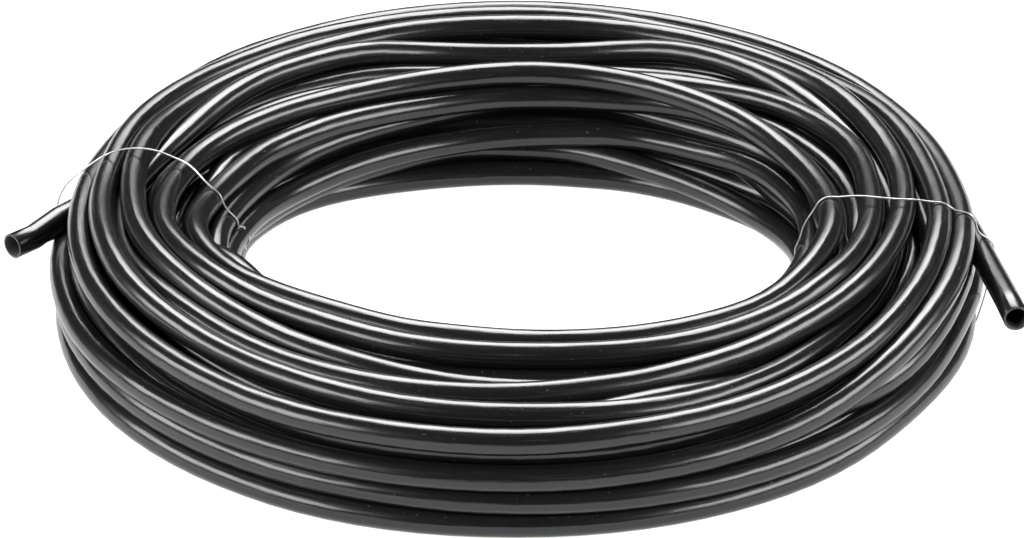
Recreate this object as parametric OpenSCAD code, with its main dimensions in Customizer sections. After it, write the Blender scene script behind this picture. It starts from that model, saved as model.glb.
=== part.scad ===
// Coil of smooth black polyethylene irrigation hose, held by two twisted wire ties.
// Millimetres, +Z up. The coil lies on the floor at z = 0, and the origin is on the
// floor under the middle of the whole part. The hose is one piece: its outer layer of
// turns is wound here over a plain ring that takes the place of the buried turns, and
// its two free ends are open tubes that a fitting pushes into.

/* [Hose] */
// Outside diameter of the hose
hose_d = 13; // [11:0.5:14.5]
// Thickness of the hose's wall
hose_wall = 1.1; // [0.8:0.1:1.8]

/* [Coil] */
// Outside diameter of the coil, over its outermost turns
coil_od = 481; // [440:1:530]
// Diameter of the open middle, inside the innermost turns
coil_id = 279; // [230:1:300]
// Height of the coil, over its topmost turns
coil_h = 67.5; // [64:0.5:80]
// Radius of the bundle's rounded corners, to the middle of the hose
corner_r = 21; // [20:1:24]
// Least room between one turn and the next, along the layer
turn_gap = 0.9; // [0.8:0.1:1.6]
// Length up the outer wall, from its lower corner, at which the first turn starts
start_run = 19; // [14:1:21]
// Angle of the first tie, in degrees round from +X
start_az = -8; // [-15:1:5]
// Room between the wound layer and the buried turns inside it
core_gap = 0.5; // [0.4:0.1:1]

/* [Free ends] */
// Bend radius where the right end leaves the coil, to the middle of the hose
right_bend_r = 60; // [52:2:100]
// Angle that the right end turns away from the coil
right_bend = 26; // [10:1:32]
// Length of the right open end, up to its square cut
right_end_len = 30; // [20:1:60]
// Bend radius where the left end leaves the coil, to the middle of the hose
left_bend_r = 52; // [52:2:80]
// Angle that the left end turns away from the coil
left_bend = 32; // [20:1:45]
// Length of the left open end, up to its square cut
left_end_len = 10; // [8:1:40]

/* [Wire ties] */
// Diameter of the tie wire
wire_d = 0.9; // [0.7:0.1:1.4]
// Room between the wire and the turns that it holds
wire_clear = 0.5; // [0.4:0.1:1]
// Height above the floor where the two ends of a tie meet
twist_h = 34; // [30:1:38]
// Length of the twisted pair
twist_len = 22; // [14:1:24]
// Length of one full turn of the twist
twist_pitch = 6.5; // [5:0.5:8]

/* [Hidden] */

$fn = 64;
hose_color = "#17181a";
wire_color = "#a3a5a8";

hose_r = hose_d / 2;
bore_d = hose_d - 2 * hose_wall;
wire_r = wire_d / 2;

rings_per_turn = 24;   // rings of the wound hose in one turn
hose_sides = 6;        // sides of the wound hose
wire_sides = 8;        // sides of the tie wire
corner_steps = 9;      // straight steps in a quarter circle
hump_width = 14;       // degrees over which the bundle rises onto a tie
bend_rings = 3;        // rings of the wound hose in the bend at each end
settle_width = 50;     // degrees from a tie over which the near half settles lower
seam = 0.05;           // hair's breadth between the wound solid and each open end

// The hose lies flat on the floor, pressed in by a tenth of its diameter.
floor_cut = hose_d / 10;
r_out = coil_od / 2 - hose_r;
r_in = coil_id / 2 + hose_r;
z_low = hose_r - floor_cut;
z_high = coil_h - hose_r;

// The wire runs under the bundle, which rises just enough to let it through.
wire_off = hose_r + wire_clear + wire_r;
tie_rise = wire_off + wire_r - z_low;

// ---- The wound layer: one turn per pitch round the bundle's outline ----

function corner_arc(centre, radius, from) =
    [for (j = [0 : corner_steps])
        let (a = from + 90 * j / corner_steps)
        centre + radius * [cos(a), sin(a)]];

// Outline of a bundle, as [radius from the coil's axis, height], from the lower end of
// its upright outer wall over the top and back. It is grow bigger all round, rise higher
// up, and its top is drop lower.
function outline(grow, rise, drop) =
    let (hi = z_high + rise - drop - corner_r,
         lo = z_low + rise + corner_r,
         far = r_out - corner_r,
         near = r_in + corner_r,
         r = corner_r + grow)
    concat([[r_out + grow, lo]],
           corner_arc([far, hi], r, 0),
           corner_arc([near, hi], r, 90),
           corner_arc([near, lo], r, 180),
           corner_arc([far, lo], r, 270));

// Length along a line of points, up to each of them
function lengths_along(line) =
    [for (i = 0, s = 0; i < len(line);
          s = s + (i + 1 < len(line) ? norm(line[i + 1] - line[i]) : 0), i = i + 1) s];

// Point at length s along a closed line
function point_along(line, s) =
    let (at = lengths_along(line),
         last = len(line) - 1,
         on = s % at[last])
    [for (side = [0, 1]) lookup(on, [for (i = [0 : last]) [at[i], line[i][side]]])];

// As many turns as fit, and half a turn less, so that the two ends come out opposite.
whole_layer = lengths_along(outline(0, 0, 0));
layer_len = whole_layer[len(whole_layer) - 1];
turns_round = floor(layer_len / (hose_d + turn_gap));
pitch = layer_len / turns_round;
turns = turns_round - 0.5;
last_ring = turns * rings_per_turn;

// Between its ends the hose passes the near half once less than the far half, so the
// bundle there is lower by half a pitch, which makes its outline one pitch shorter.
near_drop = pitch / 2;

function eased(x) = let (u = max(0, min(1, x))) u * u * (3 - 2 * u);

function drop_at(az) =
    let (past = (az - start_az + 3600) % 360)
    past < 180 ? 0 : near_drop * eased(min(past - 180, 360 - past) / settle_width);

// Rise of the whole bundle over the two ties, which lie half a turn apart
function rise_at(az) =
    let (past = (az - start_az + 3600) % 180,
         off = min(past, 180 - past))
    tie_rise * exp(-pow(off / hump_width, 2));

// Middle of the hose, t turns after the right tie
function hose_at(t) =
    let (az = start_az + 360 * t,
         p = point_along(outline(0, 0, drop_at(az)), start_run + t * pitch))
    [p[0] * cos(az), p[0] * sin(az), p[1] + rise_at(az)];

function unit(v) = v / norm(v);
function backwards(list) = [for (i = [len(list) - 1 : -1 : 0]) list[i]];
function heading_at(t) = unit(hose_at(t + 0.0005) - hose_at(t - 0.0005));

// From the ties on, each end of the winding bends away from the coil, and its last
// diameter of hose runs straight, square to the open end that it meets.
function outward(p, heading) =
    let (out = [p[0], p[1], 0]) unit(out - (out * heading) * heading);

function bend_heading(t, side, bend) =
    let (h = side * heading_at(t))
    cos(bend) * h + sin(bend) * outward(hose_at(t), h);

function bend_at(t, side, bend_r, bend) =
    let (p = hose_at(t), h = side * heading_at(t))
    p + bend_r * (sin(bend) * h + (1 - cos(bend)) * outward(p, h));

right_heading = bend_heading(0, -1, right_bend);
right_face = bend_at(0, -1, right_bend_r, right_bend) + hose_d * right_heading;
left_heading = bend_heading(turns, 1, left_bend);
left_face = bend_at(turns, 1, left_bend_r, left_bend) + hose_d * left_heading;

ring_turns = [for (i = [0 : last_ring]) i / rings_per_turn];
bend_parts = [for (j = [1 : bend_rings]) j / bend_rings];
winding = [for (t = ring_turns) hose_at(t)];
coil_path = concat([right_face],
                   [for (j = backwards(bend_parts)) bend_at(0, -1, right_bend_r, j * right_bend)],
                   winding,
                   [for (j = bend_parts) bend_at(turns, 1, left_bend_r, j * left_bend)],
                   [left_face]);
coil_headings = concat([-right_heading],
                       [for (j = backwards(bend_parts)) -bend_heading(0, -1, j * right_bend)],
                       [for (t = ring_turns) heading_at(t)],
                       [for (j = bend_parts) bend_heading(turns, 1, j * left_bend)],
                       [left_heading]);

least_gap = min([for (i = [0 : last_ring - rings_per_turn])
                 for (j = [i + rings_per_turn : rings_per_turn : last_ring])
                 norm(winding[i] - winding[j])]) - hose_d;
echo(str("turns wound: ", turns, ", least gap between turns: ", least_gap, " mm"));

// ---- A tube swept along points, with triangular faces ----

// Corners of the ring round point p, square to heading, the first one towards out.
function ring(p, heading, out, radius, sides) =
    let (n1 = unit(out - (out * heading) * heading),
         n2 = cross(heading, n1))
    [for (k = [0 : sides - 1])
        p + radius * (cos(360 * k / sides) * n1 + sin(360 * k / sides) * n2)];

module swept_tube(points, headings, outs, radius, sides) {
    count = len(points);
    last = (count - 1) * sides;
    corners = [for (i = [0 : count - 1])
               for (v = ring(points[i], headings[i], outs[i], radius, sides))
               [v[0], v[1], max(v[2], 0)]];
    walls = [for (i = [0 : count - 2]) for (k = [0 : sides - 1])
             let (a = i * sides + k, b = i * sides + (k + 1) % sides)
             for (f = [[a, a + sides, b + sides], [a, b + sides, b]]) f];
    caps = [for (k = [1 : sides - 2])
            for (f = [[0, k, k + 1], [last, last + k + 1, last + k]]) f];
    polyhedron(corners, concat(walls, caps), convexity = 10);
}

module hose_coil() {
    color(hose_color)
        swept_tube(coil_path, coil_headings, [for (p = coil_path) [p[0], p[1], 0]],
                   hose_r, hose_sides);
}

// ---- The buried turns, as a plain ring inside the wound layer ----

// Straight steps of the wound hose cut inside its circle by this much of the radius.
step_inset = cos(180 / rings_per_turn);

module buried_turns() {
    inset = hose_r + core_gap;
    low = [r_in + inset, z_low + inset + tie_rise];
    high = [r_out * step_inset - inset, z_high - near_drop - inset];
    r = corner_r - inset;
    color(hose_color)
        rotate_extrude($fn = 96) {
            translate([low[0] + r, low[1]]) square([high[0] - low[0] - 2 * r, high[1] - low[1]]);
            translate([low[0], low[1] + r]) square([high[0] - low[0], high[1] - low[1] - 2 * r]);
            for (x = [low[0] + r, high[0] - r], z = [low[1] + r, high[1] - r])
                translate([x, z]) circle(r = r);
        }
}

// ---- The free ends: open tubes with a true bore ----

module open_end(face, heading, length) {
    color(hose_color)
        translate(face + seam * heading)
            rotate([0, -asin(heading[2]), atan2(heading[1], heading[0])])
                rotate([0, 90, 0])
                    difference() {
                        cylinder(h = length, d = hose_d);
                        translate([0, 0, -1]) cylinder(h = length + 2, d = bore_d);
                    }
}

module hose_end_right() { open_end(right_face, right_heading, right_end_len); }
module hose_end_left() { open_end(left_face, left_heading, left_end_len); }

// ---- The wire ties: one wire round the bundle, its two ends twisted together ----

wire_run = r_out + wire_off;          // radius of the upright run outside the bundle
knee_r = wire_d;                      // bend of each end into the twist
fold_r = 3 * wire_d;                  // bend of the twisted pair down along the bundle
strand_off = 0.65 * wire_d;           // from the pair's middle line to each strand
knee_steps = 3;
strand_steps = round(8 * twist_len / twist_pitch);
fold_len = fold_r * PI / 2;

// Middle line of the twisted pair at s along it, as [radius, height, lean from upright]
function pair_at(s) =
    let (turn = min(s / fold_len, 1) * 90,
         down = max(s - fold_len, 0))
    [wire_run + knee_r + fold_r * sin(turn),
     twist_h - fold_r + fold_r * cos(turn) - down,
     turn];

// One strand of the pair, on the upper side of the middle line at its root, or the lower
function strand_at(s, side) =
    let (p = pair_at(s),
         roll = 360 * s / twist_pitch + (side > 0 ? 0 : 180),
         up = strand_off * cos(roll))
    [p[0] + up * sin(p[2]), strand_off * sin(roll), p[1] + up * cos(p[2])];

function strand(side) =
    [for (i = [0 : strand_steps]) strand_at(twist_len * i / strand_steps, side)];

// Bend from the upright run into the twist, from above or from below
function knee(side) =
    [for (j = [0 : knee_steps - 1])
        let (a = 90 * j / knee_steps)
        [wire_run + knee_r - knee_r * cos(a),
         0,
         twist_h + side * (strand_off + knee_r - knee_r * sin(a))]];

bundle = outline(wire_off, tie_rise, 0);
wire_loop = [for (i = [1 : len(bundle) - 1]) [bundle[i][0], 0, bundle[i][1]]];
wire_path = concat(backwards(strand(1)), backwards(knee(1)), wire_loop, knee(-1), strand(-1));
wire_last = len(wire_path) - 1;
wire_headings = [for (i = [0 : wire_last])
                 unit(wire_path[min(i + 1, wire_last)] - wire_path[max(i - 1, 0)])];

module wire_tie() {
    color(wire_color)
        swept_tube(wire_path, wire_headings, [for (p = wire_path) [0, 1, 0]],
                   wire_r, wire_sides);
}

module wire_tie_right() { rotate([0, 0, start_az]) wire_tie(); }
module wire_tie_left() { rotate([0, 0, start_az + 180]) wire_tie(); }

// ---- The whole part, set over its middle ----

// How far the rim of an open end's cut reaches along X
function rim_reach(face, heading, length, side) =
    (face + (seam + length) * heading)[0] + side * hose_r * sqrt(1 - heading[0] * heading[0]);

twist_reach = wire_run + knee_r + fold_r + strand_off + wire_r;
reach_right = max(twist_reach, rim_reach(right_face, right_heading, right_end_len, 1));
reach_left = min(-twist_reach, rim_reach(left_face, left_heading, left_end_len, -1));
middle = [-(reach_right + reach_left) / 2, 0, 0];
echo(str("reach along X: ", reach_left, " to ", reach_right));

translate(middle) {
    hose_coil();
    buried_turns();
    hose_end_right();
    hose_end_left();
    wire_tie_right();
    wire_tie_left();
}
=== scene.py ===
"""Coil of glossy black irrigation hose, tied with two loose steel wires.

Routes are worked out in hose diameters, with azimuth in degrees counter-clockwise from +X
round the coil's own axis, and put into metres at the end.
"""

import math

import bmesh
import bpy
import numpy as np
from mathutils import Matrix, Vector


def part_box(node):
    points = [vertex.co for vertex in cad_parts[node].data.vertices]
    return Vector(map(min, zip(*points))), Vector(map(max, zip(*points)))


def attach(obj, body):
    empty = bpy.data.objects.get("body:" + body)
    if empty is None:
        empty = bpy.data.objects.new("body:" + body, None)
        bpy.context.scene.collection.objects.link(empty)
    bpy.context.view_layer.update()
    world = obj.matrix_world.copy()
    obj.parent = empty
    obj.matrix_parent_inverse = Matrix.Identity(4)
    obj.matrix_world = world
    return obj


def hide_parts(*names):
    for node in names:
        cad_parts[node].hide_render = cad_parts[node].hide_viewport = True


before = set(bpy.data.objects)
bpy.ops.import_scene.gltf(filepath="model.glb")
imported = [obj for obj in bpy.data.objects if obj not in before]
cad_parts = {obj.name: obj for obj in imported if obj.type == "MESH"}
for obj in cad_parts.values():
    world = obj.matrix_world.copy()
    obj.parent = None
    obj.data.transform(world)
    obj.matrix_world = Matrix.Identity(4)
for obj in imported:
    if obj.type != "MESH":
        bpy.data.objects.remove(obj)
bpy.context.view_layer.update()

HOSE_D = 0.013
HOSE_WALL = 0.0011
WIRE_D = 0.0009

# The coil's axis stands in the middle of the buried turns.
low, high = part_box("buried_turns")
AXIS_X = (low[0] + high[0]) / 2
UP = np.array((0, 0, 1))

# ---------------------------------------------------------------- camera

ELEVATION = math.radians(27.5)
DISTANCE = 183.2 * HOSE_D
SENSOR = 36                       # width in millimetres
LENS = 164.3                      # focal length in millimetres
CLIP = (0.1, 40)
AIM = Vector((AXIS_X - 0.002, 0.0, 0.0219))


def place_camera():
    camera = bpy.data.objects.new("camera", bpy.data.cameras.new("camera"))
    bpy.context.scene.collection.objects.link(camera)
    back = Vector((0, -math.cos(ELEVATION), math.sin(ELEVATION)))
    camera.location = AIM + DISTANCE * back
    camera.rotation_mode = "QUATERNION"
    camera.rotation_quaternion = (-back).to_track_quat("-Z", "Y")
    camera.data.sensor_width = SENSOR
    camera.data.lens = LENS
    camera.data.clip_start, camera.data.clip_end = CLIP
    bpy.context.scene.camera = camera


place_camera()

# ---------------------------------------------------------------- the hose's route

STATIONS = 96                     # points of the route in one turn
STEP = 360 / STATIONS
FIRST = -22.5                     # azimuth of the right end's cut

# Hold is 1 where a turn is in view and lies as given, and near 0 where it settles.
WALL_HOLD = 0.92
BURIED_HOLD = 0.05
FREE_BELOW = 0.3                  # with less hold, a turn sinks between the walls

# Where the turns that lie buried cross the near side, as (lane, height), in the order in
# which they are wound: one row inwards, then two rows together outwards.
NEAR = 270
LANES = 7                         # from the inner wall, lane 0, to the outer wall
PARTS = 8                         # keys to each buried turn
KEEP_OFF = 25                     # degrees that they keep from the listed keys
OUTER_FOOT = (LANES, 0.5)         # where the last of them comes out
BURIED = [
    (6, 2.42), (5, 2.4), (4, 2.4), (3, 2.4), (2, 2.4), (1, 2.4), (0.3, 2.35),
    (0, 1.45), (0, 0.5), (1, 0.5), (1, 1.45), (2, 1.45), (2, 0.5), (3, 0.5),
    (3, 1.45), (4, 1.45), (4, 0.5), (5, 0.5), (5, 1.45), (6, 1.45), (6, 0.5),
]
# Centre radius of the innermost and the outermost turn on the floor, by azimuth
INNER_WALL = [
    (0, 12.1), (16, 12.2), (31, 12.1), (43, 11.75), (55, 11.53), (66, 11.25), (76, 10.95),
    (90, 10.85), (101, 10.92), (112, 11.14), (122, 11.5), (136, 12.2), (145, 12.35),
    (158, 12.15), (180, 11.8), (200, 11.3), (225, 10.7), (270, 10.55), (315, 10.35),
    (330, 10.6), (345, 11.2), (360, 12.1),
]
OUTER_WALL = [
    (0, 17.4), (45, 17.7), (90, 17.9), (135, 17.7), (180, 17.45), (192, 17.42),
    (210, 17.5), (230, 17.53), (252, 17.56), (270, 17.6), (290, 17.62), (302, 17.58),
    (312, 17.5), (320, 17.35), (330, 17.2), (345, 17.25), (360, 17.4),
]
# The turns on the outer wall, a little proud of one another, as (height, overhang, degrees
# for which it goes on from the near side). Each climbs to the next round the far side.
WALL_ROWS = [(0.5, 0.0, 360), (1.5, 0.09, 250)]
WALL_TOP = 2.5                    # height of the turn that lies on those
WALL_STEP = 20                    # degrees from one of their keys to the next
CLIMB_FROM = 400                  # azimuth, counted on from the near side
CLIMB_OVER = 130                  # degrees

# The right end, as (azimuth, radius, height, hold)
RIGHT_END = [
    (FIRST, 20.33, 3.63, 1), (-17, 19.35, 3.6, 1), (-12, 18.65, 3.55, 1),
    (-7, 18.1, 3.5, 1), (-2, 17.7, 3.5, 1), (8, 17.3, 3.5, 0.8), (25, 17.1, 3.3, 0.4),
    (45, 17.2, 2.9, 0.3), (65, 17.2, 2.5, 0.2), (90, 17.2, 2.45, 0.1),
    (135, 17.1, 2.45, 0.05), (180, 17.1, 2.45, 0.05),
]
# The rest of the turns that are placed one by one, as (azimuth, radius, height). An azimuth
# past 360 goes on into the turns after the one that the list starts at.
FAR_WALL_UPPER = [
    (13, 11.9, 2.75), (24, 11.9, 2.75), (36, 11.8, 2.68), (49, 11.63, 2.55),
    (61, 11.45, 2.43), (68, 11.26, 2.4), (76, 11.03, 2.33), (85, 10.83, 2.31),
    (96, 10.7, 2.22), (107, 10.65, 2.12), (117, 10.53, 2.12), (128, 10.54, 2.12),
    (145, 10.85, 1.97), (153, 10.95, 2.0), (163, 11.1, 2.15), (175, 11.35, 2.4),
    (187, 11.65, 2.4),
]
FAR_WALL_MIDDLE = [
    (0, 11.55, 1.5), (11, 11.56, 1.2), (26, 11.2, 1.2), (40, 11.0, 1.21),
    (51, 10.93, 1.25), (61, 10.9, 1.37), (71, 11.02, 1.5), (80, 11.3, 1.5),
    (91, 11.58, 1.5), (106, 11.4, 1.5), (116, 11.3, 1.48), (130, 11.45, 1.35),
    (143, 11.6, 1.17), (150, 11.65, 1.2), (160, 11.7, 1.28), (175, 11.85, 1.4),
    (188, 11.8, 1.42),
]
FAR_WALL_FLOOR = [
    (16, 12.15, 0.5), (31, 12.13, 0.5), (43, 11.75, 0.5), (55, 11.53, 0.5),
    (66, 11.25, 0.5), (76, 10.95, 0.5), (90, 10.85, 0.5), (101, 10.92, 0.5),
    (112, 11.14, 0.5), (122, 11.5, 0.5), (134, 12.1, 0.5), (147, 12.32, 0.5),
    (160, 12.12, 0.5),
]
# Three turns of the inner wall come down a row each on the right, and the last of them
# goes on outwards along the floor.
DOWN_TO_MIDDLE = [(330, 10.55, 2.3), (345, 10.95, 2.0)]
DOWN_TO_FLOOR = [(330, 10.75, 1.37), (345, 11.3, 1.05), (360, 12.0, 0.68)]
OUT_ALONG_FLOOR = [
    (315, 10.75, 0.5), (330, 11.5, 0.5), (345, 12.3, 0.5), (360, 13.0, 0.5),
    (380, 13.15, 0.5), (395, 13.1, 0.5), (420, 12.5, 0.5), (450, 11.9, 0.5),
]
OUTSIDE_TO_TOP = [
    (180, 17.65, 2.5), (210, 17.68, 2.5), (240, 17.74, 2.5), (270, 17.8, 2.5),
    (290, 17.82, 2.6), (308, 17.75, 3.0), (326, 17.55, 3.9), (338, 17.4, 4.4),
    (350, 17.15, 4.65), (368, 16.9, 4.6), (385, 17.15, 4.5), (401, 17.55, 4.45),
    (417, 17.95, 4.42), (433, 18.05, 4.48), (450, 18.05, 4.55), (467, 18.05, 4.5),
    (480, 17.95, 4.4), (492, 17.65, 4.35), (503, 17.3, 4.33), (515, 17.0, 4.3),
    (530, 16.85, 4.2), (544, 16.9, 4.15), (560, 17.0, 4.05), (574, 17.1, 3.95),
    (588, 17.3, 3.9), (603, 17.6, 3.92), (616, 17.7, 3.95), (630, 17.75, 3.95),
    (643, 17.6, 4.0), (657, 17.4, 4.0), (672, 17.1, 4.1), (686, 16.9, 4.3),
    (698, 16.8, 4.6), (712, 16.65, 4.8), (726, 16.4, 4.8), (743, 16.3, 4.75),
    (757, 16.5, 4.65), (767, 16.75, 4.57), (775, 16.95, 4.52), (784, 17.05, 4.52),
    (793, 17.07, 4.62), (802, 17.07, 4.72), (812, 17.06, 4.76), (826, 17.03, 4.77),
    (837, 16.92, 4.77), (848, 16.75, 4.78), (861, 16.6, 4.8), (877, 16.4, 4.8),
    (892, 16.15, 4.8), (909, 16.0, 4.8), (925, 15.9, 4.7), (938, 15.85, 4.5),
    (952, 15.9, 4.3), (965, 16.05, 4.25), (978, 16.2, 4.2), (990, 16.3, 4.2),
    (1002, 16.3, 4.1), (1015, 16.1, 3.9), (1029, 15.5, 3.7), (1045, 15.0, 3.5),
]
INSIDE_THE_THIRD = [
    (10, 14.8, 4.0), (35, 15.1, 4.6), (48, 15.2, 4.8), (62, 15.25, 4.75),
    (75, 15.1, 4.2), (90, 15.0, 3.8), (104, 14.9, 4.2), (117, 14.87, 4.85),
    (128, 14.9, 4.85), (150, 15.1, 4.6),
]
THIRD_FROM_OUTSIDE = [
    (189, 15.3, 4.4), (205, 15.4, 4.6), (218, 15.15, 4.4), (232, 15.0, 4.2),
    (245, 14.9, 4.15), (258, 14.75, 4.1), (270, 14.65, 4.1), (282, 14.45, 4.1),
    (295, 14.3, 4.15), (308, 14.3, 4.2), (322, 14.4, 4.4), (333, 14.7, 4.7),
    (345, 14.85, 4.8), (364, 15.1, 4.8), (382, 15.6, 4.78), (399, 15.97, 4.8),
    (410, 16.02, 4.82), (422, 16.08, 4.84), (432, 16.1, 4.84), (441, 16.1, 4.82),
    (450, 16.08, 4.81), (458, 16.06, 4.8), (468, 15.97, 4.78), (478, 15.86, 4.78),
    (488, 15.8, 4.8), (502, 15.65, 4.8), (518, 15.4, 4.8), (534, 15.1, 4.8),
    (552, 14.8, 4.9), (568, 14.4, 4.8), (581, 14.0, 4.6), (594, 13.75, 4.3),
    (606, 13.5, 4.0), (618, 13.3, 3.7), (632, 13.2, 3.5),
]
LEAD_TO_INNER_TOP = [
    (300, 13.9, 3.4), (318, 14.0, 3.35), (332, 13.45, 3.7), (346, 12.8, 3.82),
    (360, 12.3, 3.85), (385, 12.3, 3.88),
]
INNER_TOP = [
    (43, 12.3, 3.9), (53, 12.2, 3.88), (64, 11.8, 3.87), (73, 11.42, 3.86),
    (85, 11.17, 3.86), (94, 11.03, 3.87), (107, 10.85, 3.9), (121, 10.82, 3.95),
    (131, 10.95, 4.0), (143, 11.12, 4.05), (155, 11.5, 4.1), (164, 11.66, 4.1),
    (172, 11.9, 4.15), (191, 12.55, 4.5), (209, 12.4, 4.65), (223, 11.75, 4.6),
    (236, 11.1, 4.45), (248, 10.92, 4.36), (259, 10.88, 4.38), (270, 11.05, 4.38),
    (281, 11.35, 4.38), (292, 11.6, 4.38), (305, 12.02, 4.4), (318, 12.4, 4.45),
    (328, 12.5, 4.65), (341, 12.5, 4.85), (352, 12.3, 4.8), (363, 11.95, 4.75),
    (375, 11.62, 4.75), (385, 11.42, 4.8), (399, 11.3, 4.85), (412, 11.25, 4.88),
    (431, 11.3, 4.9), (450, 11.3, 4.87), (462, 11.25, 4.8), (474, 11.35, 4.72),
    (487, 11.67, 4.7), (504, 12.25, 4.75), (529, 13.4, 4.65), (553, 13.75, 4.85),
    (569, 13.2, 4.9), (582, 12.7, 4.7), (595, 12.15, 4.5), (607, 12.0, 4.4),
    (630, 12.05, 4.4), (642, 12.25, 4.4), (653, 12.6, 4.4), (665, 13.0, 4.45),
    (678, 13.4, 4.6), (689, 13.65, 4.72), (703, 13.8, 4.88), (721, 13.8, 4.8),
    (744, 14.2, 4.6), (760, 14.0, 4.4), (776, 13.4, 4.15), (790, 12.8, 4.05),
]
DOWN_FROM_INNER_TOP = [
    (90, 12.5, 4.0), (140, 12.5, 3.9), (180, 12.4, 3.6), (270, 11.4, 3.4),
]
UNDER_INNER_TOP = [
    (292, 11.65, 3.35), (305, 11.95, 3.25), (318, 12.2, 3.15), (330, 12.4, 3.0),
    (345, 12.5, 3.0),
]
FAR_WALL_TOP = [
    (375, 12.6, 3.05), (405, 12.45, 3.0), (425, 12.3, 2.98), (440, 12.15, 3.03),
    (453, 12.03, 3.1), (464, 11.65, 3.1), (480, 11.28, 3.1), (500, 11.27, 3.1),
    (519, 11.28, 3.1), (532, 11.45, 3.15), (550, 11.95, 3.2), (565, 12.3, 3.2),
]
# The row beneath the top goes outwards, with one key to a turn where it is hidden.
HIDDEN_OUTWARDS = [
    (630, 12.4, 3.35), (990, 13.9, 3.2), (1350, 14.9, 3.2), (1710, 15.9, 3.1),
    (2070, 16.9, 3.1),
]
HIDDEN_NEAR_RIGHT = [
    (645, 12.65, 3.3), (660, 12.9, 3.2), (675, 13.15, 3.2), (690, 13.4, 3.2),
    (705, 13.4, 3.3),
]
TO_THE_LEFT_END = [
    (120, 16.0, 3.4), (150, 15.9, 3.4), (172, 15.8, 3.5), (190, 16.0, 3.3),
    (225, 16.7, 3.1),
]
ROUND_TO_THE_LEFT_END = [
    (330, 16.2, 3.2), (360, 16.2, 3.3), (405, 16.2, 3.4), (450, 16.6, 3.4),
    (500, 16.5, 3.2),
]
LEFT_END = [
    (515, 16.4, 3.1), (524, 16.55, 3.07), (532.3, 17.15, 3.07), (537, 18.0, 3.07),
    (542.2, 19.62, 3.07),
]
# Which turn each list starts at, how firmly its keys hold, and the list
INNER_LOWER = [
    (6, 0.8, FAR_WALL_UPPER), (6, 0.8, DOWN_TO_MIDDLE),
    (7, 0.8, FAR_WALL_MIDDLE), (7, 0.8, DOWN_TO_FLOOR),
    (8, 0.8, FAR_WALL_FLOOR), (8, 0.6, OUT_ALONG_FLOOR),
]
UPPER = [
    (23, 1, OUTSIDE_TO_TOP),
    (26, 0.8, INSIDE_THE_THIRD), (26, 1, THIRD_FROM_OUTSIDE),
    (27, 0.5, LEAD_TO_INNER_TOP),
    (28, 1, INNER_TOP),
    (30, BURIED_HOLD, DOWN_FROM_INNER_TOP), (30, 0.6, UNDER_INNER_TOP),
    (30, 0.8, FAR_WALL_TOP), (30, 0.5, HIDDEN_NEAR_RIGHT), (30, BURIED_HOLD, HIDDEN_OUTWARDS),
    (35, 0.4, TO_THE_LEFT_END), (35, 0.1, ROUND_TO_THE_LEFT_END), (35, 1, LEFT_END),
]


def wall(rows, azimuth):
    """Radius of a wall at an azimuth."""
    return np.interp(azimuth % 360, *zip(*rows))


def placed(lists):
    """The lists' keys in one, with hold, and azimuth counted on from the first turn."""
    return [(azimuth + 360 * first_turn, radius, height, hold)
            for first_turn, hold, turns in lists for azimuth, radius, height in turns]


def route_keys():
    """Rows of azimuth, radius, height and hold, from the right end's cut to the left's."""
    keys = RIGHT_END + placed(INNER_LOWER)
    given = [key[0] for key in keys]
    for turn, (lane, height) in enumerate(BURIED):
        lane_on, height_on = (BURIED + [OUTER_FOOT])[turn + 1]
        for part in range(PARTS):
            azimuth = NEAR + 360 // PARTS * part
            if min(abs(azimuth + 360 * turn - a) for a in given) < KEEP_OFF:
                continue
            inner, outer = wall(INNER_WALL, azimuth), wall(OUTER_WALL, azimuth)
            at = lane + (lane_on - lane) * part / PARTS
            keys.append((azimuth + 360 * turn, inner + (outer - inner) * at / LANES,
                         height + (height_on - height) * part / PARTS, BURIED_HOLD))
    heights = [height for height, _, _ in WALL_ROWS] + [WALL_TOP]
    for row, (height, overhang, run) in enumerate(WALL_ROWS):
        for azimuth in range(NEAR, NEAR + run, WALL_STEP):
            climb = min(max((azimuth - CLIMB_FROM) / CLIMB_OVER, 0), 1)
            rise = (heights[row + 1] - height) * climb * climb * (3 - 2 * climb)
            keys.append((azimuth + 360 * (len(BURIED) + row),
                         wall(OUTER_WALL, azimuth) + overhang, height + rise, WALL_HOLD))
    return np.array(sorted(keys + placed(UPPER)))


def eased_through(at, xs, ys):
    """Smooth curve through the keys, without overshoot between them."""
    gap = np.diff(xs)
    rise = np.diff(ys) / gap
    slope = np.zeros_like(ys)
    slope[0], slope[-1] = rise[0], rise[-1]
    same = rise[:-1] * rise[1:] > 0
    w1, w2 = 2 * gap[1:] + gap[:-1], gap[1:] + 2 * gap[:-1]
    slope[1:-1][same] = ((w1 + w2)[same]
                         / (w1[same] / rise[:-1][same] + w2[same] / rise[1:][same]))
    i = np.clip(np.searchsorted(xs, at) - 1, 0, len(gap) - 1)
    t = (at - xs[i]) / gap[i]
    return (ys[i] * (1 + 2 * t) * (1 - t) ** 2 + gap[i] * slope[i] * t * (1 - t) ** 2
            + ys[i + 1] * t * t * (3 - 2 * t) + gap[i] * slope[i + 1] * t * t * (t - 1))


WANDER = (0.05, 0.03)             # drift to the side and in height
WANDER_REACHES = (24, 40, 64)     # stations from one chance to the next
WANDER_SEED = 3
WANDER_SOFTNESS = 17              # stations over which the drift is smoothed


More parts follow.
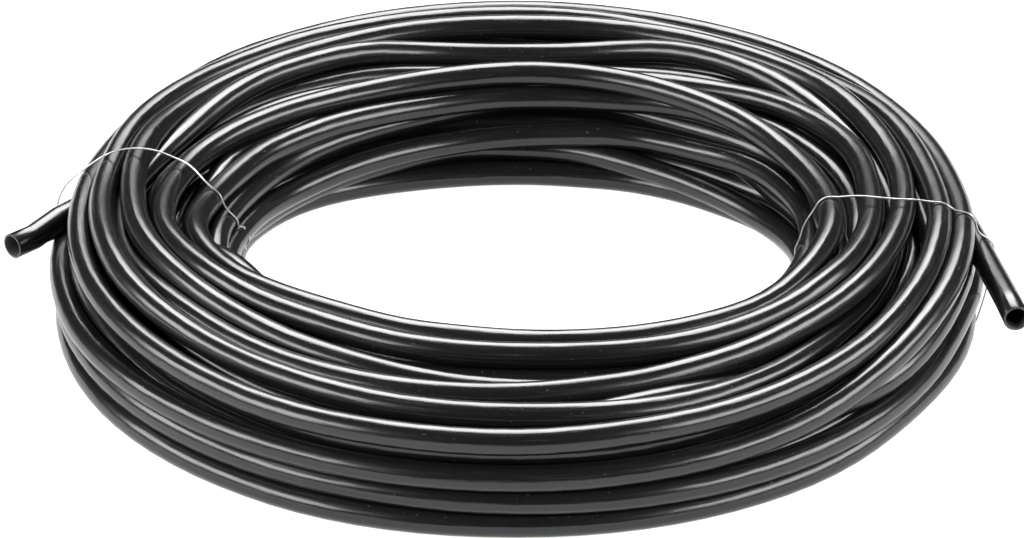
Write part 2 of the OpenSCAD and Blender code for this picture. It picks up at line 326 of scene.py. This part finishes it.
def smooth_wander(count):
    """A slow random drift to either side, as a hose has that was wound by hand."""
    chance = np.random.default_rng(WANDER_SEED)
    drift = np.zeros((count, 2))
    for reach in WANDER_REACHES:
        at = np.arange(0, count + reach, reach)
        for side, amount in enumerate(WANDER):
            drift[:, side] += np.interp(np.arange(count), at,
                                        chance.normal(0, amount, len(at)))
    soft = np.hanning(WANDER_SOFTNESS) / np.hanning(WANDER_SOFTNESS).sum()
    for side in (0, 1):
        drift[:, side] = np.convolve(drift[:, side], soft, "same")
    return drift


ROUNDS = 900
LAST_ROUNDS = 200                 # in which nothing sinks and the pull is weak
CLEAR = 1.005                     # from one turn's middle to the next one's
FIRMNESS = 0.85                   # share of its give that a turn loses by a hold of 1
PUSH = 0.5                        # share of an overlap that goes in each round
PULL, LAST_PULL = 0.25, 0.04      # share of the way back to its keys, by a hold of 1
FREE_PULL = 0.0015                # that much more of it, whatever the hold
SINK = 0.002                      # of a free turn, in each round
STIFFNESS = 0.9                   # share of a kink that the hose straightens
STRAIGHTENED, LAST_STRAIGHTENED = 3, 2  # times in each round
WALL_SLACK = 0.1                  # how far past the walls a free turn may stand
ON_THE_FLOOR = 0.5                # height of the middle of hose that lies there
WIRES_AT = (-6, 171)              # azimuths at which the ties pass under the hose
WIRE_ROOM = 0.085                 # how far they lift it
WIRE_REACH = 8                    # degrees to either side in which they do


def settle(target, hold, azimuth):
    """Lets the turns push each other aside, round after round, so that they lie less in one
    another.
    """
    inmost = wall(INNER_WALL, azimuth) - WALL_SLACK
    outmost = wall(OUTER_WALL, azimuth) + WALL_SLACK
    count = len(target)
    turns = -(-count // STATIONS)
    a, b = np.triu_indices(turns, 1)  # every pair of turns
    give = 1 - FIRMNESS * hold
    ties = sum(np.exp(-(((azimuth - tie + 180) % 360 - 180) / WIRE_REACH) ** 2)
               for tie in WIRES_AT)
    floor = ON_THE_FLOOR + WIRE_ROOM * ties
    free = hold < FREE_BELOW
    lie = target.copy()
    gives = np.zeros(turns * STATIONS)
    gives[:count] = give
    gives = gives.reshape(turns, STATIONS)
    share = gives[a] + gives[b] + 1e-9
    for done in range(ROUNDS):
        last = done > ROUNDS - LAST_ROUNDS
        grid = np.full((turns * STATIONS, 2), np.nan)
        grid[:count] = lie
        grid = grid.reshape(turns, STATIONS, 2)
        apart = grid[a] - grid[b]
        distance = np.sqrt((apart ** 2).sum(2))
        lack = np.nan_to_num(np.maximum(CLEAR - distance, 0))
        push = np.nan_to_num(apart / np.maximum(distance, 1e-6)[..., None]) * lack[..., None]
        moved = np.zeros((turns, STATIONS, 2))
        np.add.at(moved, a, PUSH * push * (gives[a] / share)[..., None])
        np.add.at(moved, b, -PUSH * push * (gives[b] / share)[..., None])
        lie = lie + moved.reshape(-1, 2)[:count]
        for _ in range(LAST_STRAIGHTENED if last else STRAIGHTENED):
            bend = (lie[:-4] - 4 * lie[1:-3] + 6 * lie[2:-2] - 4 * lie[3:-1] + lie[4:]) / 16
            lie[2:-2] -= STIFFNESS * bend * give[2:-2, None]
        pull = LAST_PULL * hold if last else PULL * hold + FREE_PULL
        lie += (target - lie) * pull[:, None]
        lie[free, 1] -= 0 if last else SINK
        lie[:, 1] = np.maximum(lie[:, 1], floor)
        lie[free, 0] = np.clip(lie[free, 0], inmost[free], outmost[free])
    return lie


def hose_route():
    """Points of the hose's middle line in metres, from the right end's cut."""
    keys = route_keys()
    count = int(round((keys[-1, 0] - FIRST) / STEP)) + 1
    azimuth = FIRST + STEP * np.arange(count)
    azimuth[-1] = keys[-1, 0]
    target = np.stack([eased_through(azimuth, keys[:, 0], keys[:, c]) for c in (1, 2)], 1)
    hold = np.interp(azimuth, keys[:, 0], keys[:, 3])
    target += smooth_wander(count) * (1 - hold)[:, None]
    lie = settle(target, hold, azimuth)
    angle = np.radians(azimuth)
    return np.stack([AXIS_X + HOSE_D * lie[:, 0] * np.cos(angle),
                     HOSE_D * lie[:, 0] * np.sin(angle), HOSE_D * lie[:, 1]], 1)


def length_along(points):
    """Length from the first point to each point."""
    steps = np.linalg.norm(np.diff(points, axis=0), axis=1)
    return np.concatenate([[0], np.cumsum(steps)])


route = hose_route()

# ---------------------------------------------------------------- tubes

HOSE_SIDES = 24
WIRE_SIDES = 10
CHAMFER = 0.0002                  # on the rims of the cuts
BORE_DEPTHS = (0.03, 0.02, 0.01)  # rings of the open bore, from its blind end


def frames_along(points):
    """Heading and two cross directions at each point, turned as little as possible."""
    heading = np.gradient(points, axis=0)
    heading /= np.linalg.norm(heading, axis=1)[:, None]
    side = np.cross(heading[0], UP)
    sides = [side / np.linalg.norm(side)]
    for h in heading[1:]:
        s = sides[-1] - (sides[-1] @ h) * h
        sides.append(s / np.linalg.norm(s))
    sides = np.array(sides)
    return heading, sides, np.cross(heading, sides)


def ring_at(point, side, up, radius, sides):
    """Corners of a regular ring about a point."""
    angle = 2 * math.pi * np.arange(sides) / sides
    return point + radius * (np.cos(angle)[:, None] * side + np.sin(angle)[:, None] * up)


def link_piece(name, shape):
    """Makes a bmesh into an object of the scene."""
    mesh = bpy.data.meshes.new(name)
    shape.to_mesh(mesh)
    shape.free()
    piece = bpy.data.objects.new(name, mesh)
    bpy.context.scene.collection.objects.link(piece)
    return piece


def swept(name, rings, along, inside=()):
    """Closed skin through rings of corners, with its ends capped, and u along, v round.

    The bands between rings that are listed as inside take the second finish."""
    shape = bmesh.new()
    corners = [[shape.verts.new(p) for p in ring] for ring in rings]
    sides = len(corners[0])
    uv = shape.loops.layers.uv.new("hose_uv")
    for i in range(len(rings) - 1):
        for k in range(sides):
            n = (k + 1) % sides
            face = shape.faces.new((corners[i][k], corners[i][n],
                                    corners[i + 1][n], corners[i + 1][k]))
            face.smooth = True
            face.material_index = int(i in inside)
            for loop, (u, v) in zip(face.loops, ((along[i], k), (along[i], k + 1),
                                                 (along[i + 1], k + 1), (along[i + 1], k))):
                loop[uv].uv = (u, v / sides)
    for ring in (corners[0][::-1], corners[-1]):
        shape.faces.new(ring).material_index = int(bool(inside))
    bmesh.ops.recalc_face_normals(shape, faces=shape.faces)
    return link_piece(name, shape)


def make_hose():
    """The whole hose as one tube, with an open bore and chamfered rims at both ends."""
    heading, side, up = frames_along(route)
    along = length_along(route)
    outer, bore = HOSE_D / 2, HOSE_D / 2 - HOSE_WALL

    def open_end(index, inwards):
        """Rings from the bore's blind end out to the rim of the cut."""
        p, h = route[index], heading[index] * inwards
        rows = [(bore, d) for d in (*BORE_DEPTHS, CHAMFER)]
        rows += [(bore + CHAMFER, 0), (outer - CHAMFER, 0)]
        return [(ring_at(p + h * d, side[index], up[index], r, HOSE_SIDES),
                 along[index] + inwards * d) for r, d in rows]

    first = open_end(0, 1)
    last = open_end(len(route) - 1, -1)[::-1]
    body = [(ring_at(p, s, u, outer, HOSE_SIDES), a)
            for p, s, u, a in zip(route, side, up, along)]
    # the skin's own ends stand a chamfer back from the cuts
    body[0] = (body[0][0] + heading[0] * CHAMFER, along[0])
    body[-1] = (body[-1][0] - heading[-1] * CHAMFER, along[-1])
    rings, us = zip(*(first + body + last))
    cuts = {*range(len(first) - 1), *range(len(rings) - len(last), len(rings) - 1)}
    return swept("hose", rings, us, cuts)


hose = make_hose()
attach(hose, "root")
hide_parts("hose_coil", "buried_turns", "hose_end_right", "hose_end_left")

# ---------------------------------------------------------------- wire ties

# Each wire as (radius, height) in hose diameters, in its upright plane across the bundle,
# and how far it bows out of that plane where it does: from the twist round and back to
# it. Before them stands the plane's azimuth, and after them the twist's heading and length.
LEFT_TIE = (WIRES_AT[1], [
    (11.0, 2.6, 0.3), (11.06, 2.97, 0.5), (11.17, 3.5, 0.9), (11.47, 4.17, 1.1),
    (11.8, 4.58, 1.0), (12.24, 5.06, 0.8), (12.67, 5.25, 0.4), (13.1, 5.4, 0.1),
    (13.7, 5.52), (14.24, 5.74), (14.84, 5.78), (15.44, 5.74), (16.0, 5.6),
    (16.5, 5.32), (17.0, 4.93), (17.58, 4.45), (17.96, 4.08), (18.29, 3.44),
    (18.42, 2.87), (18.4, 2.1), (18.3, 1.3), (18.15, 0.5), (17.9, 0.1), (17.4, 0.045),
    (16.3, 0.043), (15.0, 0.043), (13.6, 0.043), (12.4, 0.043), (11.6, 0.06),
    (11.25, 0.4), (11.1, 1.2), (11.02, 1.9), (11.0, 2.45)], (0.0, 0.06, -1), 1.2)
RIGHT_TIE = (WIRES_AT[0], [
    (18.5, 2.75), (18.52, 3.2), (18.47, 3.5), (18.3, 3.85), (18.05, 4.15),
    (17.73, 4.45), (17.33, 4.86), (16.85, 5.15), (16.3, 5.4), (15.76, 5.55),
    (15.22, 5.57), (14.68, 5.55), (13.95, 5.58), (13.37, 5.6), (12.83, 5.53),
    (12.34, 5.38), (11.88, 5.13), (11.54, 4.78), (11.25, 4.28), (11.14, 3.93),
    (11.08, 3.4), (11.0, 2.7), (11.0, 1.8), (11.15, 0.9), (11.5, 0.2), (12.1, 0.045),
    (13.4, 0.043), (15.0, 0.043), (16.6, 0.043), (17.6, 0.06), (18.0, 0.4),
    (18.25, 1.2), (18.4, 2.0), (18.46, 2.6)], (0.25, 0.25, -0.93), 0.9)
KEY_STEPS = 9                     # points of the wire from one key to the next
HAND_BEND = 0.0012                # metres by which a hand-bent wire strays from flat
HALF_WAVES = 5                    # of that bend, round the wire
LIFTS = 60                        # rounds in which the hose pushes a wire off it
LAST_LIFTS = 6                    # of those, in which the wire isn't evened any more
WIRE_CLEAR = 1.03                 # distance from the hose's middle, over that of touching
NEARBY = 0.97                     # cosine of the angle within which hose is near a wire
EVENED = 0.2                      # share of a kink that goes in each round
TWIST_POINTS = 72
TWIST_TURNS = 4.5
TWIST_RADIUS, SPLAY = 0.52, 1.1   # in wire diameters, and how much more at the ends
SPLAY_FROM, SPLAY_OVER = 0.8, 0.2  # shares of the twist's length
UNWOUND_FROM = 0.85               # the same, past which the strands aren't wound
TAKEN_OVER = 3                    # points of the loop that the twist stands in for
NIPPED_OFF = 5                    # points that the second strand is shorter by
NIPPED_RADIUS = 0.6               # of the wire's own, at its two ends
SMOOTHED = 3                      # times, once the wire is whole


def rounded_through(keys, steps):
    """Smooth curve through the keys, steps points to each stretch."""
    keys = np.array([tuple(k) + (0,) * (3 - len(k)) for k in keys], float)
    ends = np.concatenate([[2 * keys[0] - keys[1]], keys, [2 * keys[-1] - keys[-2]]])
    t = np.arange(steps)[:, None] / steps
    bits = []
    for i in range(1, len(ends) - 2):
        a, b, c, d = ends[i - 1:i + 3]
        bits.append(0.5 * (2 * b + (c - a) * t + (2 * a - 5 * b + 4 * c - d) * t ** 2
                           + (3 * b - a - 3 * c + d) * t ** 3))
    return np.concatenate(bits + [keys[-1:]])


def lift_off(points):
    """Moves a wire's points out of the hose, and evens the wire between."""
    starts, ends = route[:-1], route[1:]
    axis = (AXIS_X, 0)
    middle = points.mean(0)[:2] - axis
    there = (starts[:, :2] - axis) @ middle
    near = there > NEARBY * np.linalg.norm(middle) * np.linalg.norm(
        starts[:, :2] - axis, axis=1)
    start, run = starts[near], (ends - starts)[near]
    need = WIRE_CLEAR * (HOSE_D + WIRE_D) / 2
    row = np.arange(len(points))
    for done in range(LIFTS):
        if done < LIFTS - LAST_LIFTS:
            points[1:-1] += EVENED * (points[:-2] + points[2:] - 2 * points[1:-1])
        away = points[:, None] - start
        t = np.clip((away * run).sum(2) / (run ** 2).sum(1), 0, 1)
        away -= t[..., None] * run
        distance = np.linalg.norm(away, axis=2)
        closest = distance.argmin(1)
        lack = np.maximum(need - distance[row, closest], 0)
        points += away[row, closest] * (lack / distance[row, closest])[:, None]
        points[:, 2] = np.maximum(points[:, 2], 0.5 * WIRE_D)
    return points


def twisted_strands(tip, out, pointing, length):
    """Two strands from the tip, wound round each other, that splay at their ends."""
    axis = np.array(pointing) / np.linalg.norm(pointing)
    one = np.cross(axis, out)
    one /= np.linalg.norm(one)
    other = np.cross(axis, one)
    s = np.linspace(0, 1, TWIST_POINTS)[1:]
    splayed = np.clip((s - SPLAY_FROM) / SPLAY_OVER, 0, 1) ** 1.5
    apart = WIRE_D * (TWIST_RADIUS + SPLAY * splayed)
    strands = []
    for phase in (0, math.pi):
        angle = phase + 2 * math.pi * TWIST_TURNS * np.minimum(s, UNWOUND_FROM)
        strands.append(tip + axis * (s * length * HOSE_D)[:, None]
                       + one * (apart * np.cos(angle))[:, None]
                       + other * (apart * np.sin(angle))[:, None])
    return strands


def make_tie(name, azimuth, keys, pointing, twist_length):
    """One wire: round the bundle, with its two ends twisted together and splayed."""
    angle = math.radians(azimuth)
    out = np.array((math.cos(angle), math.sin(angle), 0))
    across = np.array((-out[1], out[0], 0))
    flat = rounded_through(keys, KEY_STEPS)
    loop = np.array((AXIS_X, 0, 0)) + HOSE_D * (
        flat[:, :1] * out + flat[:, 1:2] * UP + flat[:, 2:] * across)
    waves = np.sin(np.linspace(0, HALF_WAVES * math.pi, len(loop)))
    bend = waves * np.hanning(len(loop))
    loop += across * (HAND_BEND * bend)[:, None]
    loop = lift_off(loop)
    one, other = twisted_strands((loop[0] + loop[-1]) / 2, out, pointing, twist_length)
    path = np.concatenate([one[::-1], loop[TAKEN_OVER:-TAKEN_OVER], other[:-NIPPED_OFF]])
    for _ in range(SMOOTHED):
        path[1:-1] = 0.25 * (path[:-2] + 2 * path[1:-1] + path[2:])
    radius = np.full(len(path), WIRE_D / 2)
    radius[[0, -1]] *= NIPPED_RADIUS
    rings = [ring_at(p, s, u, r, WIRE_SIDES)
             for p, s, u, r in zip(path, *frames_along(path)[1:], radius)]
    tie = swept(name, rings, length_along(path))
    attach(tie, "root")
    return tie


tie_left = make_tie("tie_left", *LEFT_TIE)
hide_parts("wire_tie_left")
tie_right = make_tie("tie_right", *RIGHT_TIE)
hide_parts("wire_tie_right")

# ---------------------------------------------------------------- materials


class Finish:
    """A material that is being put together, out of numbers and of nodes."""

    def __init__(self, name):
        self.material = bpy.data.materials.new(name)
        self.material.use_nodes = True
        self.tree = self.material.node_tree
        self.skin = self.tree.nodes["Principled BSDF"]

    def feed(self, node, values):
        """Gives a node's inputs a number each, or another node's output."""
        for name, value in values.items():
            if isinstance(value, bpy.types.NodeSocket):
                self.tree.links.new(value, node.inputs[name])
            else:
                node.inputs[name].default_value = value

    def node(self, kind, values, **settings):
        """Adds a node of a kind, and returns its first output."""
        node = self.tree.nodes.new("ShaderNode" + kind)
        for name, value in settings.items():
            setattr(node, name, value)
        self.feed(node, values)
        return node.outputs[0]

    def math(self, operation, *values):
        return self.node("Math", dict(enumerate(values)), operation=operation)

    def round_the_skin(self):
        """Length in metres and the place round the skin, as a point on a closed ring."""
        parts = self.tree.nodes.new("ShaderNodeSeparateXYZ")
        self.feed(parts, {0: self.node("UVMap", {}, uv_map="hose_uv")})
        angle = self.math("MULTIPLY", parts.outputs["Y"], 2 * math.pi)
        return self.node("CombineXYZ", {"X": parts.outputs["X"],
                                        "Y": self.math("COSINE", angle),
                                        "Z": self.math("SINE", angle)})

    def grain(self, place, fineness, scale, detail, roughness=0.5):
        """Noise, with a fineness of its own along each axis of the place."""
        return self.node("TexNoise", {
            "Vector": self.node("Mapping", {"Vector": place, "Scale": fineness}),
            "Scale": scale, "Detail": detail, "Roughness": roughness})

    def fitted(self, value, span, onto=(0, 1)):
        """A span of the value, spread onto another one and cut off at its ends."""
        return self.node("MapRange", {"Value": value, "From Min": span[0],
                                      "From Max": span[1], "To Min": onto[0],
                                      "To Max": onto[1]})

    def coloured(self, value, dark, light):
        """A colour from dark, where the value is 0, to light, where it is 1."""
        ramp = self.tree.nodes.new("ShaderNodeValToRGB")
        for stop, colour in zip(ramp.color_ramp.elements, (dark, light)):
            stop.color = (*colour, 1)
        self.feed(ramp, {"Fac": value})
        return ramp.outputs["Color"]

    def uneven(self, *heights):
        """Bumps one on another, as (value, depth in metres)."""
        below = {}
        for value, depth in heights:
            bump = self.node("Bump", {"Strength": 1, "Distance": depth, "Height": value,
                                      **below})
            below = {"Normal": bump}
        return bump


def black_hose():
    """Extruded polyethylene: die lines along it, a fine grain, scuffs and a little dust."""
    finish = Finish("black_polyethylene")
    ring = finish.round_the_skin()
    die_lines = finish.grain(ring, (3, 5, 5), scale=3, detail=4, roughness=0.6)
    fine = finish.grain(ring, (220, 1.6, 1.6), scale=5, detail=3, roughness=0.7)
    ripple = finish.grain(ring, (16, 0.8, 0.8), scale=1.6, detail=2)
    scuffs = finish.grain(ring, (9, 2.2, 2.2), scale=2.2, detail=6, roughness=0.72)
    dust = finish.grain(ring, (150, 2.4, 2.4), scale=2.6, detail=2)
    worn = finish.fitted(scuffs, (0.55, 0.75))
    specks = finish.fitted(dust, (0.70, 0.76))
    marks = finish.math("MAXIMUM", finish.fitted(worn, (0, 1), onto=(0, 0.35)), specks)
    rough = finish.math("ADD", finish.fitted(die_lines, (0.3, 0.7), onto=(0.19, 0.24)),
                        finish.fitted(worn, (0, 1), onto=(0, 0.08)))
    finish.feed(finish.skin, {
        "Base Color": finish.coloured(marks, (0.0035, 0.0035, 0.004),
                                      (0.035, 0.035, 0.035)),
        "Roughness": rough,
        "Normal": finish.uneven((ripple, 0.0003), (die_lines, 0.000018),
                                (fine, 0.000012))})
    return finish.material


def cut_face():
    """The wall where the hose was cut, and the bore: matt, with the knife's drag."""
    finish = Finish("cut_polyethylene")
    texture = finish.tree.nodes.new("ShaderNodeTexCoord")
    drag = finish.grain(texture.outputs["Object"], (900, 2600, 2600), scale=1, detail=3)
    finish.feed(finish.skin, {
        "Base Color": finish.coloured(drag, (0.008, 0.008, 0.0085), (0.035, 0.035, 0.036)),
        "Roughness": finish.fitted(drag, (0.3, 0.7), onto=(0.42, 0.6)),
        "Normal": finish.uneven((drag, 0.00004))})
    return finish.material


def steel_wire():
    """Bare annealed steel: drawn lines, a dull film and a few darker spots."""
    finish = Finish("bare_steel_wire")
    ring = finish.round_the_skin()
    drawn = finish.grain(ring, (60, 2, 2), scale=3, detail=3)
    film = finish.grain(ring, (240, 0.7, 0.7), scale=2, detail=4, roughness=0.6)
    finish.feed(finish.skin, {
        "Metallic": 1,
        "Base Color": finish.coloured(finish.fitted(film, (0.35, 0.65)),
                                      (0.26, 0.25, 0.24), (0.56, 0.56, 0.57)),
        "Roughness": finish.fitted(film, (0.35, 0.65), onto=(0.46, 0.28)),
        "Normal": finish.uneven((drawn, 0.00001), (film, 0.000012))})
    return finish.material


def pale_floor():
    """Even matt studio floor, with light of its own, so that it stays pale."""
    finish = Finish("pale_floor")
    finish.feed(finish.skin, {
        "Base Color": (0.22, 0.22, 0.22, 1), "Roughness": 0.9,
        "Emission Color": (1, 1, 1, 1), "Emission Strength": 0.95})
    return finish.material


hose.data.materials.append(black_hose())
hose.data.materials.append(cut_face())
wire_finish = steel_wire()
for tie in (tie_left, tie_right):
    tie.data.materials.append(wire_finish)

# ---------------------------------------------------------------- floor and light

FLOOR_REACH = 6                   # to each side of the middle, in metres
AIMED_AT = (0, 0, 0.03)
# Each softbox is several lights in one plane, so that it fades towards its edges. Those
# at the back are (centre, size, power, aim). Those at each side are (width, power), and
# share their centre, which is given for the right side, and their height.
BACK_LIGHTS = [
    ((0, 1.556, 2.0), (1.67, 1.97), 83, AIMED_AT),
    ((0, 1.36, 2.155), (1.67, 1.47), 66, (0, -0.196, 0.185)),
]
SIDE_CENTRE = (2.44, -0.8, 1.25)
SIDE_HEIGHT = 1.0
SIDE_LIGHTS = [(3.1, 96), (2.6, 81), (2.1, 65)]
ROOM_LIGHT = 0.04


def make_floor():
    shape = bmesh.new()
    bmesh.ops.create_grid(shape, x_segments=1, y_segments=1, size=FLOOR_REACH)
    floor = link_piece("studio_floor", shape)
    floor.data.materials.append(pale_floor())


def softbox(name, centre, size, power, target=AIMED_AT):
    """One rectangular light, which faces what it is aimed at."""
    lamp = bpy.data.lights.new(name, "AREA")
    lamp.shape = "RECTANGLE"
    lamp.size, lamp.size_y = size
    lamp.energy = power
    light = bpy.data.objects.new(name, lamp)
    bpy.context.scene.collection.objects.link(light)
    light.location = centre
    away = Vector(target) - Vector(centre)
    light.rotation_mode = "QUATERNION"
    light.rotation_quaternion = away.to_track_quat("-Z", "Y")


def light_room():
    """An even dim room round the softboxes."""
    world = bpy.data.worlds.new("studio")
    bpy.context.scene.world = world
    world.use_nodes = True
    room = world.node_tree.nodes["Background"].inputs
    room["Color"].default_value = (1, 1, 1, 1)
    room["Strength"].default_value = ROOM_LIGHT


make_floor()
for light in BACK_LIGHTS:
    softbox("back_softbox", *light)
for side in (-1, 1):
    for width, power in SIDE_LIGHTS:
        softbox("side_softbox", (side * SIDE_CENTRE[0], *SIDE_CENTRE[1:]),
                (width, SIDE_HEIGHT), power)
light_room()
bpy.context.scene.view_settings.view_transform = "Standard"
